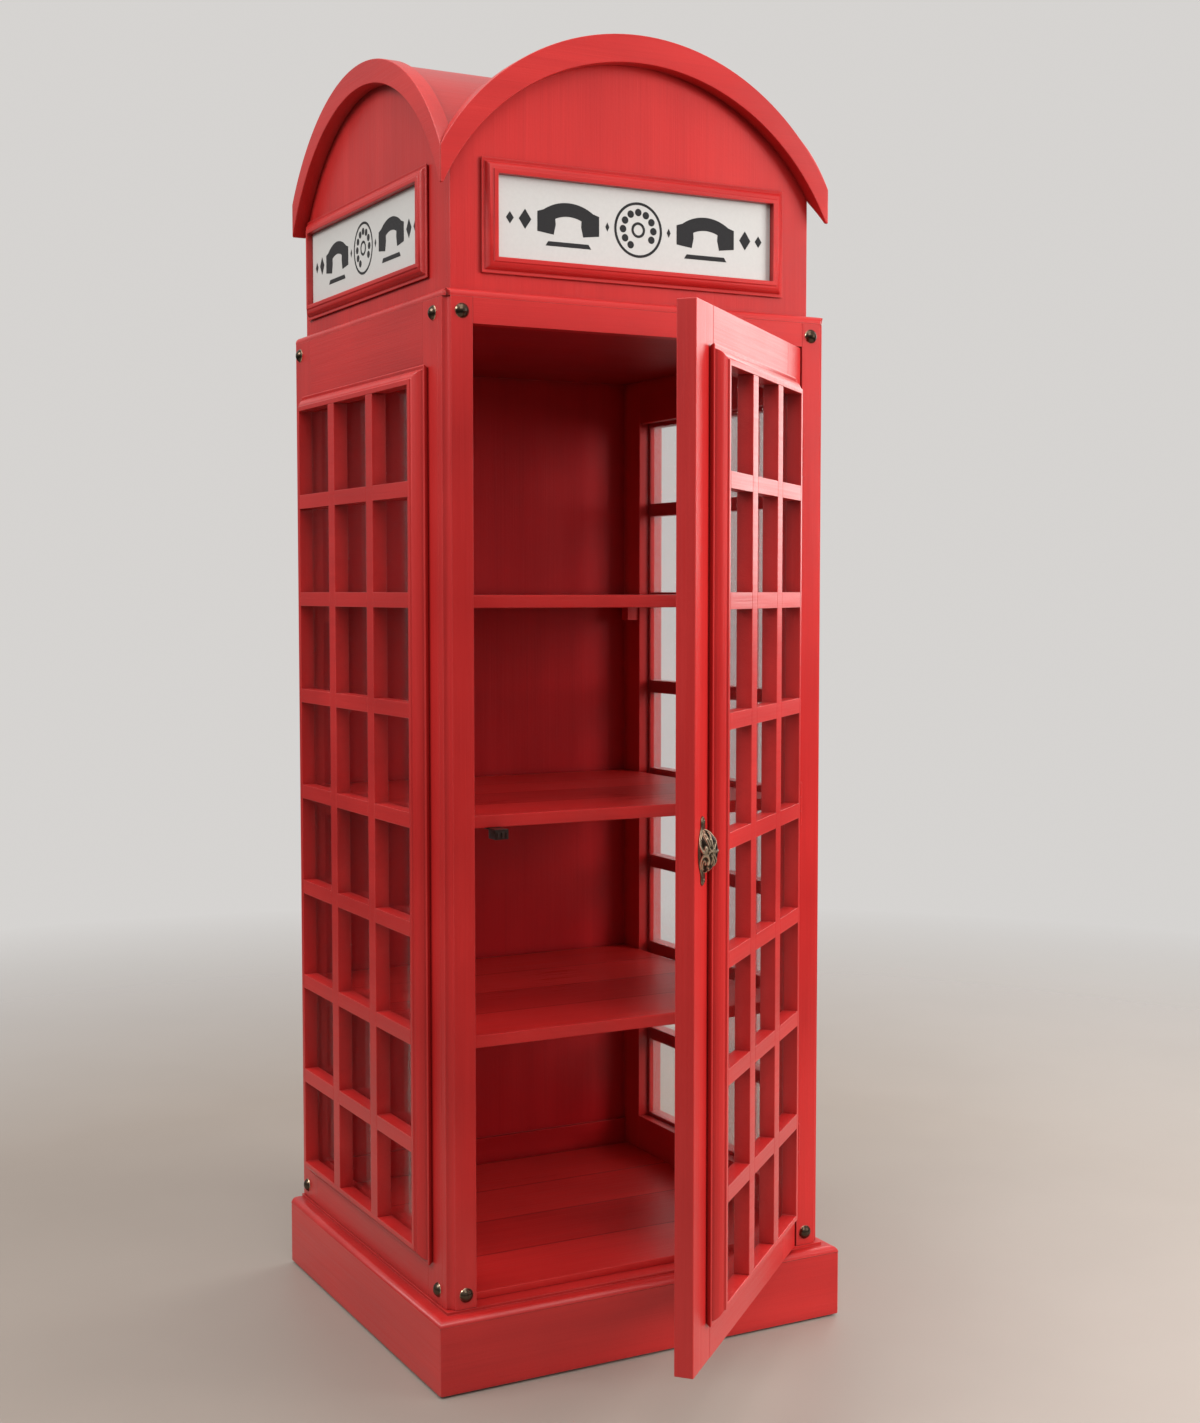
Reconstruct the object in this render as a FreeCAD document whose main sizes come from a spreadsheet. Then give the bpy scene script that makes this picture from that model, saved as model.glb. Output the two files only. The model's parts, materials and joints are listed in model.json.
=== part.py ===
import FreeCAD, Part
import os

# Telephone-booth display cabinet: a glazed, shelved wooden cabinet with a cross-vaulted roof and one door.
# Millimetres, +Z up, front faces -Y. The origin is on the floor under the middle of the carcass,
# so the carcass is centred on X and Y and the plinth overhangs it at the front and the sides.

doc = FreeCAD.newDocument("telephone_booth")
sheet = doc.addObject("Spreadsheet::Sheet", "Sizes")
V = FreeCAD.Vector


class Dim:
    """A size as a designer writes it: its number now, and the sheet expression that keeps it bound."""

    def __init__(self, value, text):
        self.value, self.text = float(value), text

    @staticmethod
    def of(other):
        return other if isinstance(other, Dim) else Dim(other, repr(float(other)))

    def _join(self, other, sign, value):
        return Dim(value, "(%s %s %s)" % (self.text, sign, Dim.of(other).text))

    def __add__(self, other):
        return self._join(other, "+", self.value + Dim.of(other).value)

    def __sub__(self, other):
        return self._join(other, "-", self.value - Dim.of(other).value)

    def __mul__(self, other):
        return self._join(other, "*", self.value * Dim.of(other).value)

    def __truediv__(self, other):
        return self._join(other, "/", self.value / Dim.of(other).value)

    def __radd__(self, other):
        return Dim.of(other) + self

    def __rsub__(self, other):
        return Dim.of(other) - self

    def __rmul__(self, other):
        return Dim.of(other) * self

    def __neg__(self):
        return Dim(-self.value, "(-1 * %s)" % self.text)

    def root(self):
        return Dim(self.value ** 0.5, "sqrt(%s)" % self.text)


def size(alias, value, note):
    """Put one driving size in the next row of the sheet and hand it back as a Dim."""
    size.row += 1
    cell = "B%d" % size.row
    sheet.set("A%d" % size.row, alias.replace("_", " "))
    sheet.set(cell, str(value))
    sheet.setAlias(cell, alias)
    sheet.set("C%d" % size.row, note)
    return Dim(value, "Sizes." + alias)


size.row = 0

# ---------------------------------------------------------------- driving sizes
carcass_width = size("carcass_width", 588, "carcass, outside, left to right")
carcass_depth = size("carcass_depth", 572, "carcass, outside, front to back")
glide_height = size("glide_height", 3, "floor glides under the plinth")
glide_radius = size("glide_radius", 13, "floor glides")
plinth_height = size("plinth_height", 91, "plinth boards, below the cap")
plinth_overhang = size("plinth_overhang", 21, "plinth outside the carcass at each side")
plinth_front_overhang = size("plinth_front_overhang", 19, "plinth outside the carcass at the front")
plinth_board = size("plinth_board", 22, "plinth board thickness")
cap_round = size("cap_round", 9, "rounded edge of the plinth cap")
cap_step = size("cap_step", 4, "raised fillet of the cap under the carcass")
cap_lip = size("cap_lip", 3, "how far that fillet stands outside the carcass")
cap_ledge = size("cap_ledge", 14, "how far the cap reaches in under the cabinet floor")
carcass_height = size("carcass_height", 1327, "from the plinth cap to the top of the carcass")
side_board = size("side_board", 18, "side frames, thickness")
front_board = size("front_board", 22, "front frame, thickness")
front_stile_width = size("front_stile_width", 40, "front stile, with its coved corner")
cove_radius = size("cove_radius", 9, "cove along each front corner")
header_height = size("header_height", 34, "front header over the door")
floor_board = size("floor_board", 10, "cabinet floor, thickness")
ceiling_board = size("ceiling_board", 12, "cabinet ceiling, thickness")
back_board = size("back_board", 6, "back panel, thickness")
back_inset = size("back_inset", 6, "back panel set in from the rear")
back_rail_board = size("back_rail_board", 12, "low rail at the back, thickness")
back_rail_top = size("back_rail_top", 41, "low rail at the back, height over the cabinet floor")
shelf_board = size("shelf_board", 17.5, "shelf thickness")
shelf_lower_level = size("shelf_lower_level", 340.5, "top of the lower shelf over the cabinet floor")
shelf_middle_level = size("shelf_middle_level", 639, "top of the middle shelf over the cabinet floor")
shelf_upper_level = size("shelf_upper_level", 934, "top of the upper shelf over the cabinet floor")
shelf_setback = size("shelf_setback", 56, "shelves behind the front of the carcass")
support_block = size("support_block", 20, "shelf support block, width")
support_depth = size("support_depth", 14, "shelf support block, front to back")
support_height = size("support_height", 25, "shelf support block, height")
window_front_margin = size("window_front_margin", 77, "side window from the front of the carcass")
window_back_margin = size("window_back_margin", 70, "side window from the back of the carcass")
window_bottom = size("window_bottom", 72, "window openings over the plinth cap")
window_top = size("window_top", 108, "window openings below the carcass top")
pane_rows = size("pane_rows", 8, "panes up and down")
pane_columns = size("pane_columns", 3, "panes across")
glazing_bar_width = size("glazing_bar_width", 24.5, "upright glazing bars")
glazing_bar_height = size("glazing_bar_height", 20.5, "level glazing bars")
window_moulding_width = size("window_moulding_width", 26, "moulding round a window")
window_moulding_rise = size("window_moulding_rise", 21, "how far that moulding and the bars stand out")
glass_lap = size("glass_lap", 6, "moulding over the edge of the glass")
glass_sheet = size("glass_sheet", 3, "glass thickness")
glass_gap = size("glass_gap", 0.5, "clearance round the glass")
ledge_height = size("ledge_height", 10, "moulding on top of the carcass")
ledge_round = size("ledge_round", 8, "its rounded edge")
head_inset = size("head_inset", 18, "head set in from each side of the carcass")
head_front_inset = size("head_front_inset", 22, "head set in from the front of the carcass")
head_board = size("head_board", 12, "head boards, thickness")
sign_opening_width = size("sign_opening_width", 424, "sign, between its mouldings")
sign_opening_height = size("sign_opening_height", 107, "sign, between its mouldings")
sign_bottom = size("sign_bottom", 56, "sign opening over the carcass top")
side_sign_shift = size("side_sign_shift", 36, "side signs behind the middle of the cabinet")
sign_moulding_width = size("sign_moulding_width", 22, "moulding round a sign")
sign_moulding_rise = size("sign_moulding_rise", 12, "how far that moulding stands out")
sign_board = size("sign_board", 3, "sign panel thickness")
arch_overhang = size("arch_overhang", 22, "arch boards outside the head at each side")
arch_board = size("arch_board", 21, "front arch board, thickness")
arch_foot = size("arch_foot", 141.5, "underside of the arch feet over the carcass top")
arch_foot_height = size("arch_foot_height", 47, "upright cut at the arch feet")
arch_toe = size("arch_toe", 4, "level cut at the arch feet")
arch_rise = size("arch_rise", 174.4, "front arch, from the top of its foot to its crown")
arch_band = size("arch_band", 37, "front arch board at its crown")
side_arch_drop = size("side_arch_drop", 7, "side arches lower than the front one")
side_arch_band = size("side_arch_band", 32.5, "side arch board at its crown")
side_arch_shift = size("side_arch_shift", 8, "crown of the side arches behind the middle")
roof_sheet = size("roof_sheet", 5, "roof skin, thickness")
roof_step = size("roof_step", 5, "roof skin below the arch boards")
stud_radius = size("stud_radius", 10, "domed corner studs")
stud_rise = size("stud_rise", 6.5, "domed corner studs")
stud_inset = size("stud_inset", 25, "front studs from each side of the carcass")
stud_drop = size("stud_drop", 18.5, "studs below the carcass top and over the plinth cap")
side_stud_front = size("side_stud_front", 37, "side studs from the front of the carcass")
side_stud_back = size("side_stud_back", 19, "side studs from the back of the carcass")
door_board = size("door_board", 24.5, "door thickness")
door_proud = size("door_proud", 1.5, "closed door in front of the front frame")
door_gap = size("door_gap", 2, "gap at the lock side of the door")
hinge_gap = size("hinge_gap", 3, "gap at the hinge side of the door")
door_head_gap = size("door_head_gap", 2.5, "gap over the door")
door_foot_gap = size("door_foot_gap", 1.5, "gap under the door")
door_margin = size("door_margin", 76.5, "door edge to the door's window, both sides")
door_swing = size("door_swing", 42.2, "how far the door stands open, degrees")
hinge_count = size("hinge_count", 3, "butt hinges")
hinge_length = size("hinge_length", 60, "butt hinges")
hinge_leaf = size("hinge_leaf", 1.2, "hinge leaf thickness")
hinge_leaf_width = size("hinge_leaf_width", 19, "hinge leaf width")
hinge_inset = size("hinge_inset", 150, "end hinges from the ends of the door")
knuckle_radius = size("knuckle_radius", 3, "hinge knuckles")
pin_proud = size("pin_proud", 3.2, "middle of the hinge pins in front of the door")
pin_radius = size("pin_radius", 1.25, "hinge pins")
pin_head = size("pin_head", 1.5, "head on top of each hinge pin")
pin_clearance = size("pin_clearance", 0.05, "round the pin")
knuckle_gap = size("knuckle_gap", 0.5, "between knuckles")
pull_height = size("pull_height", 84, "cup pull plate, end to end")
pull_width = size("pull_width", 34, "cup pull plate, side to side")
pull_plate = size("pull_plate", 2.2, "cup pull plate, thickness")
pull_inset = size("pull_inset", 29.5, "middle of the cup pull from the free edge of the door")
pull_level = size("pull_level", 638.5, "middle of the cup pull over the plinth cap")
cup_height = size("cup_height", 54, "cup, end to end")
cup_reach = size("cup_reach", 20.5, "cup, out from the door")
cup_width = size("cup_width", 17, "cup, half its width")
cup_mouth = size("cup_mouth", 9, "cup mouth, from the middle towards the window")
cup_metal = size("cup_metal", 1.8, "cup, metal thickness")
pull_screw_radius = size("pull_screw_radius", 3, "cup pull screw heads")
pull_screw_rise = size("pull_screw_rise", 1.8, "cup pull screw heads")
pull_screw_inset = size("pull_screw_inset", 6.5, "screws from the ends of the plate")
catch_width = size("catch_width", 20, "magnetic catch")
catch_height = size("catch_height", 14, "magnetic catch")
catch_depth = size("catch_depth", 22, "magnetic catch")
catch_plate = size("catch_plate", 2, "plate that screws the catch to the shelf, thickness")
catch_plate_depth = size("catch_plate_depth", 42, "the same plate, front to back")
catch_inset = size("catch_inset", 44, "catch from the lock side of the opening")
catch_pole = size("catch_pole", 2, "poles in front of the catch body")
strike_plate = size("strike_plate", 4, "strike plate thickness")
strike_height = size("strike_height", 19, "strike plate height")
strike_margin = size("strike_margin", 2.5, "strike plate past the catch at each side")
strike_gap = size("strike_gap", 3, "closed strike plate to the catch poles")
doc.recompute()

# ---------------------------------------------------------------- places that follow from them
left, right = -carcass_width / 2, carcass_width / 2
front, back = -carcass_depth / 2, carcass_depth / 2
plinth_top = glide_height + plinth_height
cap_top = plinth_top + cap_round
base = cap_top + cap_step
top = base + carcass_height
inner = right - side_board
frame_back = front + front_board
opening_half = right - front_stile_width
opening_top = top - header_height
floor_top = base + floor_board
window_front, window_back = front + window_front_margin, back - window_back_margin
window_low = base + window_bottom
window_high = top - window_top
back_face = back - back_inset - back_board
rail_face = back_face - (back_rail_board - back_board)
head_half = right - head_inset
head_front = front + head_front_inset
ceiling_top = opening_top + ceiling_board
door_front = front - door_proud
hinge_x = opening_half - hinge_gap / 2
hinge_y = door_front - pin_proud
door_low, door_high = base + door_foot_gap, opening_top - door_head_gap
mirror_sides = ((-1, "left"), (1, "right"))


# ---------------------------------------------------------------- helpers
def bind(target, path, amount):
    """Bind one property to the sheet; a plain number stays a plain number."""
    target.setExpression(path, Dim.of(amount).text)


def place(target, x=0, y=0, z=0, axis=None, angle=0):
    """Give an object its Placement, with every coordinate bound."""
    if axis is not None:
        start = FreeCAD.Rotation(axis, Dim.of(angle).value)
        target.Placement = FreeCAD.Placement(V(), start)
        if isinstance(angle, Dim):
            bind(target, "Placement.Rotation.Angle", angle)
    for name, amount in (("x", x), ("y", y), ("z", z)):
        bind(target, "Placement.Base." + name, amount)
    return target


def box(label, xs, ys, zs):
    """A board between two X, two Y and two Z limits."""
    board = doc.addObject("Part::Box", label)
    for name, (low, high) in (("Length", xs), ("Width", ys), ("Height", zs)):
        bind(board, name, Dim.of(high) - low)
    return place(board, xs[0], ys[0], zs[0])


def cylinder(label, centre, radius, height):
    """An upright round bar standing on its centre point."""
    bar = doc.addObject("Part::Cylinder", label)
    bind(bar, "Radius", radius)
    bind(bar, "Height", height)
    return place(bar, *centre)


def boolean(kind, label, base_object, tool):
    """Part::Cut or Part::Common of two objects."""
    result = doc.addObject("Part::" + kind, label)
    result.Base, result.Tool = base_object, tool
    return result


def group(label, members):
    """One node made of separate solids that lie apart or meet face to face."""
    node = doc.addObject("Part::Compound", label)
    node.Links = members
    return node


def outline(body, name, plane, points, offset=0):
    """A closed sketch on one origin plane. Each point is (x, y), or (x, y, r) when the side that
    leaves it is an arc of radius r; a negative r bends the arc the other way, with the centre
    on the right of the walk."""
    import Sketcher
    sketch = body.newObject("Sketcher::SketchObject", name)
    role = {"XY": "XY_Plane", "XZ": "XZ_Plane", "YZ": "YZ_Plane"}[plane]
    support = [f for f in body.Origin.OriginFeatures if f.Role == role][0]
    sketch.AttachmentSupport = [(support, "")]
    sketch.MapMode = "FlatFace"
    bind(sketch, "AttachmentOffset.Base.z", offset)
    count = len(points)
    ends = [V(Dim.of(p[0]).value, Dim.of(p[1]).value, 0) for p in points]
    joints = []
    for i, point in enumerate(points):
        start, end = ends[i], ends[(i + 1) % count]
        if len(point) == 2:
            sketch.addGeometry(Part.LineSegment(start, end), False)
            joints.append((1, 2))
            continue
        radius = Dim.of(point[2]).value
        chord = end - start
        rise = max(radius * radius - chord.Length ** 2 / 4, 0.0) ** 0.5
        side = V(-chord.y, chord.x, 0).normalize() * (rise if radius > 0 else -rise)
        centre = (start + end) / 2 + side
        ring = Part.Circle(centre, V(0, 0, 1), abs(radius))
        first, last = (start, end) if radius > 0 else (end, start)
        sketch.addGeometry(Part.ArcOfCircle(ring, ring.parameter(first), ring.parameter(last)), False)
        joints.append((1, 2) if radius > 0 else (2, 1))
    for i, point in enumerate(points):
        following = (i + 1) % count
        sketch.addConstraint(Sketcher.Constraint(
            "Coincident", i, joints[i][1], following, joints[following][0]))
    for i, point in enumerate(points):
        for kind, amount in (("DistanceX", point[0]), ("DistanceY", point[1])):
            amount = Dim.of(amount)
            index = sketch.addConstraint(Sketcher.Constraint(kind, -1, 1, i, joints[i][0], amount.value))
            sketch.setExpression("Constraints[%d]" % index, amount.text)
        if len(point) == 3:
            radius = Dim.of(point[2])
            radius = radius if radius.value > 0 else -radius
            index = sketch.addConstraint(Sketcher.Constraint("Radius", i, radius.value))
            sketch.setExpression("Constraints[%d]" % index, radius.text)
    return sketch


def padded(label, plane, points, length, start=0):
    """A PartDesign body: an outline on an origin plane, offset by start and padded by length.
    XZ sketches look along +Y, so their offset and pad run towards -Y and are turned round here."""
    body = doc.addObject("PartDesign::Body", label)
    sketch = outline(body, label + "_outline", plane, points, -start if plane == "XZ" else start)
    pad = body.newObject("PartDesign::Pad", label + "_pad")
    pad.Profile = sketch
    pad.Reversed = plane == "XZ"
    bind(pad, "Length", length)
    return body


def revolved(label, points, angle=360):
    """A PartDesign body turned about its own upright axis from a half outline in the XZ plane."""
    body = doc.addObject("PartDesign::Body", label)
    sketch = outline(body, label + "_outline", "XZ", points)
    turn = body.newObject("PartDesign::Revolution", label + "_turn")
    turn.Profile = sketch
    turn.ReferenceAxis = (sketch, ["V_Axis"])
    turn.Angle = angle
    return body


def moulding_profile(width, rise):
    """Section of the bolection moulding: x runs outward from the opening, y stands out from the wall.
    A flat crown beside the opening, a step, an ovolo, a quirk, and an undercut lip at the outside."""
    crown, lip = width * 0.29, rise * 0.29
    return [
        (0, 0), (width * 0.84, 0), (width * 0.96, lip), (width * 0.9, lip + rise * 0.06),
        (width * 0.74, lip - rise * 0.03), (width * 0.72, lip + rise * 0.05, rise * 0.85),
        (crown, rise * 0.88), (crown - width * 0.02, rise), (0, rise),
    ]


def framed(label, half_width, low, high, width, rise):
    """A picture-frame moulding round an opening in a wall that faces -Y, in one mitred sweep.
    The opening is centred on X = 0 and the wall face is Y = 0."""
    body = doc.addObject("PartDesign::Body", label)
    path = outline(body, label + "_path", "XZ",
                   [(0, low), (half_width, low), (half_width, high), (-half_width, high), (-half_width, low)])
    # the section is drawn where the path starts, in the plane across it
    section = outline(body, label + "_section", "YZ",
                      [(-y, low - x) + tuple(-r for r in arc)
                       for x, y, *arc in moulding_profile(width, rise)])
    sweep = body.newObject("PartDesign::AdditivePipe", label + "_sweep")
    sweep.Profile = section
    sweep.Spine = (path, [])
    sweep.Transition = "Right corner"
    return body


def mitred_run(label, section, plane, length, start, keep):
    """A run of section cut to an outline seen from above, which makes its mitres."""
    run = padded(label + "_run", plane, section, length, start)
    plan = padded(label + "_plan", "XY", keep, top * 2)
    return boolean("Common", label, run, plan)


def mirrored(points, sign):
    """Corners given for the right side, or their mirror image for the left."""
    flipped = [(p[0] * sign,) + tuple(p[1:2]) + tuple(r * sign for r in p[2:]) for p in points]
    return flipped


def edged(label, section, half_width, front_face, front_plan, right_plan):
    """A moulding round the front and both sides. Its section is (inward, up) from the outer face."""
    across = [(front_face + p[0],) + tuple(p[1:]) for p in section]
    runs = [mitred_run(label + "_front", across, "YZ", half_width * 2, -half_width, front_plan)]
    along = [(half_width - p[0], p[1]) + tuple(-r for r in p[2:]) for p in section]
    for sign, side in mirror_sides:
        runs.append(mitred_run(label + "_" + side, mirrored(along, sign), "XZ", back - front_face, front_face,
                               mirrored(right_plan, sign)))
    return group(label, runs)


def lattice(label, half_width, low, high, depth):
    """Glazing bars that fill an opening centred on X = 0: whole uprights, with level bars between.
    Their fronts stand at Y = -depth and their backs at Y = 0."""
    columns, rows = int(pane_columns.value), int(pane_rows.value)
    pane_w = (half_width * 2 - glazing_bar_width * (columns - 1)) / columns
    pane_h = (high - low - glazing_bar_height * (rows - 1)) / rows
    bars = []
    for column in range(columns):
        x = -half_width + (pane_w + glazing_bar_width) * column
        if column:
            bars.append(box("%s_upright_%d" % (label, column), (x - glazing_bar_width, x), (-depth, 0),
                            (low, high)))
        for row in range(1, rows):
            z = low + (pane_h + glazing_bar_height) * row
            bars.append(box("%s_bar_%d_%d" % (label, column + 1, row),
                            (x, x + pane_w), (-depth, 0), (z - glazing_bar_height, z)))
    return group(label, bars)


def at_side(sign, target, y=0, z=0, face=None):
    """Turn something built for a wall that faces -Y so that it sits on the left or right wall."""
    face = right if face is None else face
    return place(target, face * sign, y, z, V(0, 0, 1), 90 * sign)


def swung(label, *members):
    """A node of the door: drawn shut with the pins on X = Y = 0, then opened by the door's swing."""
    return place(group(label, list(members)), hinge_x, hinge_y, 0, V(0, 0, 1), door_swing)


# ---------------------------------------------------------------- plinth
glide_x, glide_y = right, front + 12
glides = [cylinder("glide_%d" % i, (x, y, 0), glide_radius, glide_height)
          for i, (x, y) in enumerate(((-glide_x, glide_y), (glide_x, glide_y),
                                      (-glide_x, back - 20), (glide_x, back - 20)))]
group("floor_glides", glides)

plinth_left, plinth_right = left - plinth_overhang, right + plinth_overhang
plinth_front = front - plinth_front_overhang
mitre = plinth_front + plinth_board
padded("plinth_front_board", "XY",
       [(plinth_left, plinth_front), (plinth_right, plinth_front),
        (plinth_right - plinth_board, mitre), (plinth_left + plinth_board, mitre)],
       plinth_height, glide_height)
side_board_plan = [(plinth_right, plinth_front), (plinth_right, back), (plinth_right - plinth_board, back),
                   (plinth_right - plinth_board, mitre)]
for sign, side in mirror_sides:
    padded("plinth_%s_board" % side, "XY", mirrored(side_board_plan, sign), plinth_height, glide_height)

# The cap is one rounded, stepped section run along three sides and mitred at the front corners.
cap_width = plinth_overhang + side_board + cap_ledge
cap_fillet = plinth_overhang - cap_lip
cap_section = [(0, plinth_top), (cap_width, plinth_top), (cap_width, base), (cap_fillet, base),
               (cap_fillet, cap_top), (cap_round, cap_top, cap_round)]
cap_in_x, cap_in_y = plinth_right - cap_width, plinth_front + cap_width
edged("plinth_cap", cap_section, plinth_right, plinth_front,
      [(plinth_left, plinth_front), (plinth_right, plinth_front), (cap_in_x, cap_in_y),
       (-cap_in_x, cap_in_y)],
      [(plinth_right, plinth_front), (plinth_right, back), (cap_in_x, back), (cap_in_x, cap_in_y)])

# ---------------------------------------------------------------- carcass
stile = [(opening_half, front), (right - cove_radius, front, -cove_radius), (right, front + cove_radius),
         (right, frame_back), (opening_half, frame_back)]
for sign, side in mirror_sides:
    padded("front_stile_" + side, "XY", mirrored(stile, sign), carcass_height, base)
box("front_header", (-opening_half, opening_half), (front, frame_back), (opening_top, top))

glass_front, glass_back = window_front - glass_lap, window_back + glass_lap
glass_low, glass_high = window_low - glass_lap, window_high + glass_lap
window_middle = (window_front + window_back) / 2
window_half = (window_back - window_front) / 2
for sign, side in mirror_sides:
    xs = (inner, right) if sign > 0 else (-right, -inner)
    box(side + "_side_front_stile", xs, (frame_back, glass_front), (base, top))
    box(side + "_side_back_stile", xs, (glass_back, back), (base, top))
    box(side + "_side_top_rail", xs, (glass_front, glass_back), (glass_high, top))
    box(side + "_side_bottom_rail", xs, (glass_front, glass_back), (base, glass_low))
    pane = (right - glass_sheet, right) if sign > 0 else (-right, glass_sheet - right)
    box(side + "_window_glass", pane, (glass_front + glass_gap, glass_back - glass_gap),
        (glass_low + glass_gap, glass_high - glass_gap))
    at_side(sign, lattice(side + "_window_bars", window_half, window_low, window_high, window_moulding_rise),
            window_middle)
    at_side(sign, framed(side + "_window_moulding", window_half, window_low, window_high,
                         window_moulding_width, window_moulding_rise), window_middle)

box("floor_panel", (-inner, inner), (door_front + door_board + 2, rail_face), (base, floor_top))
plinth_in, rail_top = plinth_right - plinth_board, floor_top + back_rail_top
half_rail = [(plinth_in, glide_height), (plinth_in, plinth_top), (cap_in_x, plinth_top), (cap_in_x, base),
             (inner, base), (inner, rail_top)]
padded("back_bottom_rail", "XZ", half_rail + mirrored(half_rail, -1)[::-1], back_rail_board, rail_face)
box("back_panel", (-inner, inner), (back_face, back_face + back_board), (rail_top, opening_top))
box("ceiling_panel", (-inner, inner), (frame_back, back), (opening_top, ceiling_top))

# ---------------------------------------------------------------- shelves
shelf_front = front + shelf_setback
blocks = []
shelves = (("lower", shelf_lower_level), ("middle", shelf_middle_level), ("upper", shelf_upper_level))
for name, rise in shelves:
    level = floor_top + rise
    under = level - shelf_board
    box("shelf_" + name, (-inner, inner), (shelf_front, back_face), (under, level))
    for end, ys in (("front", (glass_front - support_depth, glass_front)),
                    ("back", (glass_back + support_block / 5, glass_back + support_block * 1.2))):
        for sign, side in mirror_sides:
            xs = (inner - support_block, inner) if sign > 0 else (-inner, support_block - inner)
            blocks.append(box("block_%s_%s_%s" % (name, end, side), xs, ys, (under - support_height, under)))
group("shelf_supports", blocks)

# ---------------------------------------------------------------- top moulding of the carcass
ledge_top = top + ledge_height
ledge_section = [(0, top), (0, ledge_top - ledge_round, -ledge_round), (ledge_round, ledge_top),
                 (head_front_inset, ledge_top), (head_front_inset, top)]
clip, clip_half = cove_radius, cove_radius / 2
edged("body_top_moulding", ledge_section, right, front,
      [(left + clip, front), (right - clip, front), (right - clip_half, front + clip_half),
       (head_half, head_front), (-head_half, head_front), (left + clip_half, front + clip_half)],
      [(right - clip_half, front + clip_half), (right, front + clip), (right, back), (head_half, back),
       (head_half, head_front)])

# ---------------------------------------------------------------- head: vault, boards, arches
foot = top + arch_foot
foot_top = foot + arch_foot_height
arch_half = head_half + arch_overhang
crown = foot_top + arch_rise
side_crown = crown - side_arch_drop
arch_front = head_front - arch_board
side_reach = side_arch_shift - arch_front


def arc_radius(half_chord, rise):
    """Radius of an arch from half its span and its rise."""
    return (half_chord * half_chord + rise * rise) / (2 * rise)


outer_radius = arc_radius(arch_half, arch_rise)
inner_half = arch_half - arch_toe
inner_radius = arc_radius(inner_half, crown - arch_band - foot)
side_rise = side_crown - foot_top
side_radius = arc_radius(side_reach, side_rise)
side_inner_reach = side_reach - arch_toe
side_inner_radius = arc_radius(side_inner_reach, side_crown - side_arch_band - foot)


def height_on(radius, crown_level, offset):
    """Height of an arch at a distance from its crown."""
    return crown_level - radius + (radius * radius - offset * offset).root()


def vault_prism(label, drop, plane):
    """Everything under one barrel of the roof, sunk by drop: a bullnose block over the head's plan."""
    if plane == "XZ":
        radius = outer_radius - drop
        edge = height_on(radius, crown - drop, head_half)
        points = [(-head_half, ceiling_top), (head_half, ceiling_top), (head_half, edge, radius),
                  (-head_half, edge)]
        return padded(label, "XZ", points, back - head_front, head_front)
    radius = side_radius - drop
    near = height_on(radius, side_crown - drop, side_arch_shift - head_front)
    far = height_on(radius, side_crown - drop, back - side_arch_shift)
    points = [(head_front, ceiling_top), (back, ceiling_top), (back, far, radius), (head_front, near)]
    return padded(label, "YZ", points, head_half * 2, -head_half)


def vault_block(label, drop):
    """Both barrels together."""
    long, cross = (vault_prism(label + end, drop, plane) for end, plane in (("_long", "XZ"), ("_cross", "YZ")))
    return boolean("Fuse", label, long, cross)


boolean("Cut", "roof_vault", vault_block("roof_block", roof_step),
        vault_block("under_roof", roof_step + roof_sheet))
boards = {
    "head_front_board": ((-head_half, head_half), (head_front, head_front + head_board)),
    "head_back_board": ((-head_half, head_half), (back - head_board, back)),
    "head_left_board": ((-head_half, head_board - head_half), (head_front + head_board, back - head_board)),
    "head_right_board": ((head_half - head_board, head_half), (head_front + head_board, back - head_board)),
}
for label, (xs, ys) in boards.items():
    boolean("Common", label, box(label + "_blank", xs, ys, (ceiling_top, crown)),
            vault_block(label + "_limit", roof_step + roof_sheet))

arch_points = [(arch_half, foot), (arch_half, foot_top, outer_radius), (-arch_half, foot_top),
               (-arch_half, foot), (-inner_half, foot, -inner_radius), (inner_half, foot)]
mitred_run("arch_front", arch_points, "XZ", arch_board, arch_front,
           [(-arch_half, arch_front), (arch_half, arch_front), (head_half, head_front), (-head_half, head_front)])
far_outer = height_on(side_radius, side_crown, back - side_arch_shift)
far_inner = height_on(side_inner_radius, side_crown - side_arch_band, back - side_arch_shift)
side_arch_points = [(arch_front, foot), (arch_front + arch_toe, foot, -side_inner_radius), (back, far_inner),
                    (back, far_outer, side_radius), (arch_front, foot_top)]
side_plan = [(arch_half, arch_front), (arch_half, back), (head_half, back), (head_half, head_front)]
for sign, side in mirror_sides:
    mitred_run("arch_" + side, side_arch_points, "YZ", arch_half * 2, -arch_half, mirrored(side_plan, sign))

# ---------------------------------------------------------------- signs
sign_low = top + sign_bottom
sign_high, sign_half = sign_low + sign_opening_height, sign_opening_width / 2
sign_sizes = (sign_half, sign_low, sign_high, sign_moulding_width, sign_moulding_rise)
sign_walls = (("front", 0, 0, head_front, 0), ("left", -90, -head_half, side_sign_shift, 0),
              ("right", 90, head_half, side_sign_shift, 0))
for side, turn, x, y, z in sign_walls:
    place(framed("sign_frame_" + side, *sign_sizes), x, y, z, V(0, 0, 1), turn)
    face = box("sign_face_" + side, (-sign_half, sign_half), (-sign_board, 0), (sign_low, sign_high))
    place(group("sign_panel_" + side, [face]), x, y, z, V(0, 0, 1), turn)

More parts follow.
